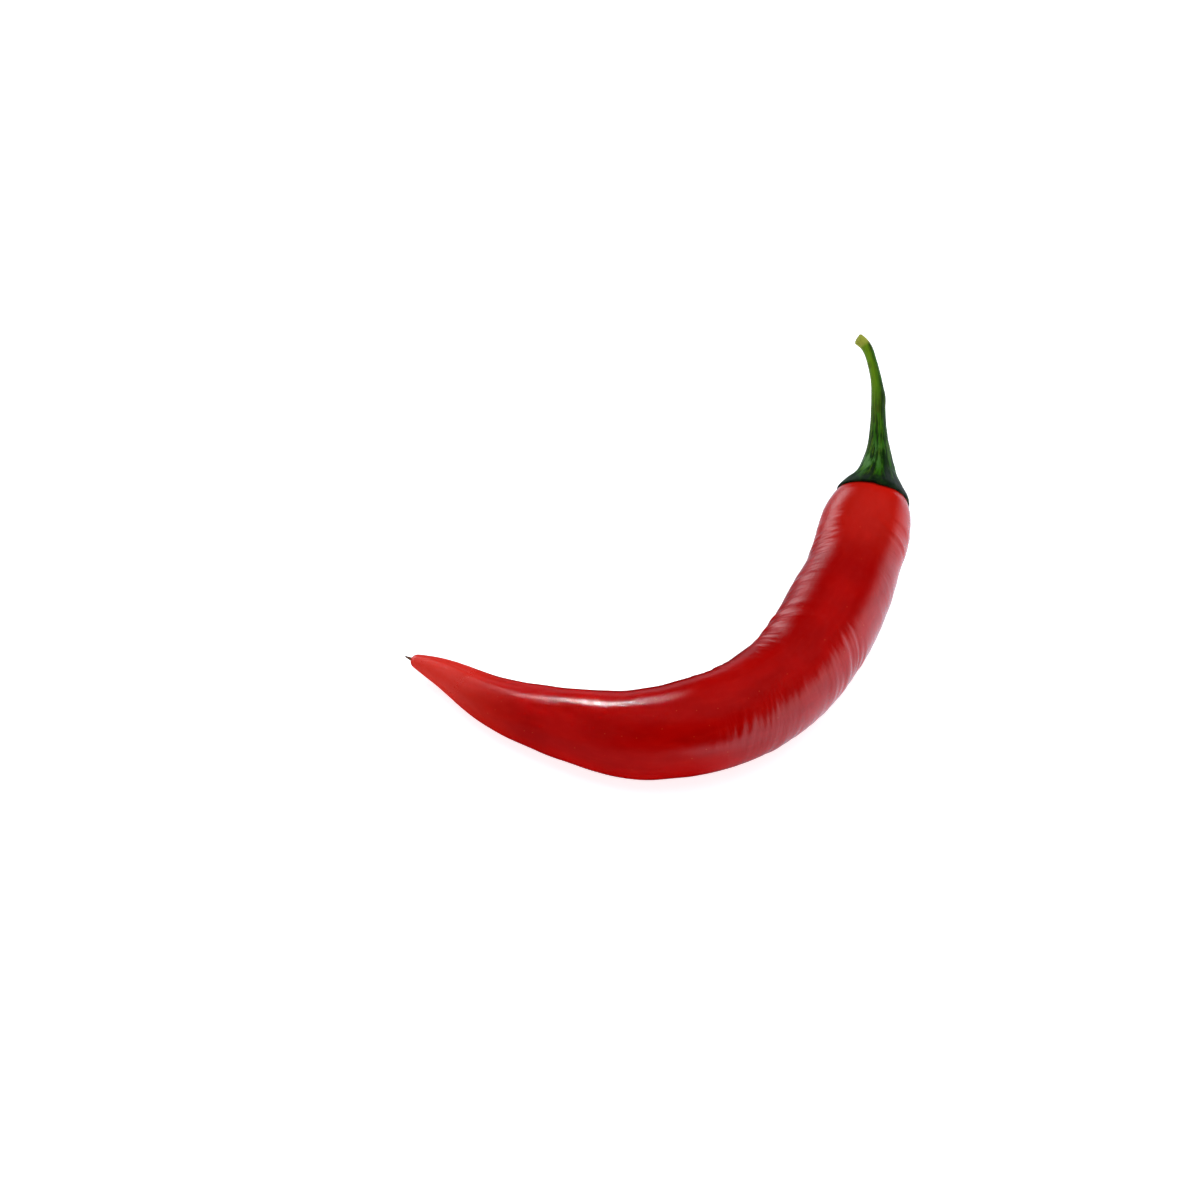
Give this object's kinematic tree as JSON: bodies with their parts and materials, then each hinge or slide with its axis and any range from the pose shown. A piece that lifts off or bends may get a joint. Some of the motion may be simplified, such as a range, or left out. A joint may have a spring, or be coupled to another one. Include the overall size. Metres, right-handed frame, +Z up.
{
  "type": "chilli pepper",
  "caption": "Long curved chilli pepper lying on its side, a tapering fruit with a cup-shaped calyx, a thin cut stem and a dried style at the tip.",
  "frame": {"origin": "middle of the footprint of the whole chilli, stem included, on the surface that it rests on", "axes": "+Z up from the surface; the open side of the bend faces +Y and -X; the tip points to -X and the stem to +Y"},
  "size_m": [0.1035, 0.1008, 0.0288],
  "materials": {
    "skin": "smooth waxy red skin with a strong gloss, a little more orange at the tip and the shoulder",
    "calyx": "dark green, faintly waxy, with fine ribs towards the rim",
    "stem": "ribbed green stalk, yellow green towards its cut end",
    "style": "dry dull brown"
  },
  "bodies": {
    "root": {"fruit": "skin", "calyx": "calyx", "stem": "stem", "dried_style": "style"}
  },
  "joints": []
}
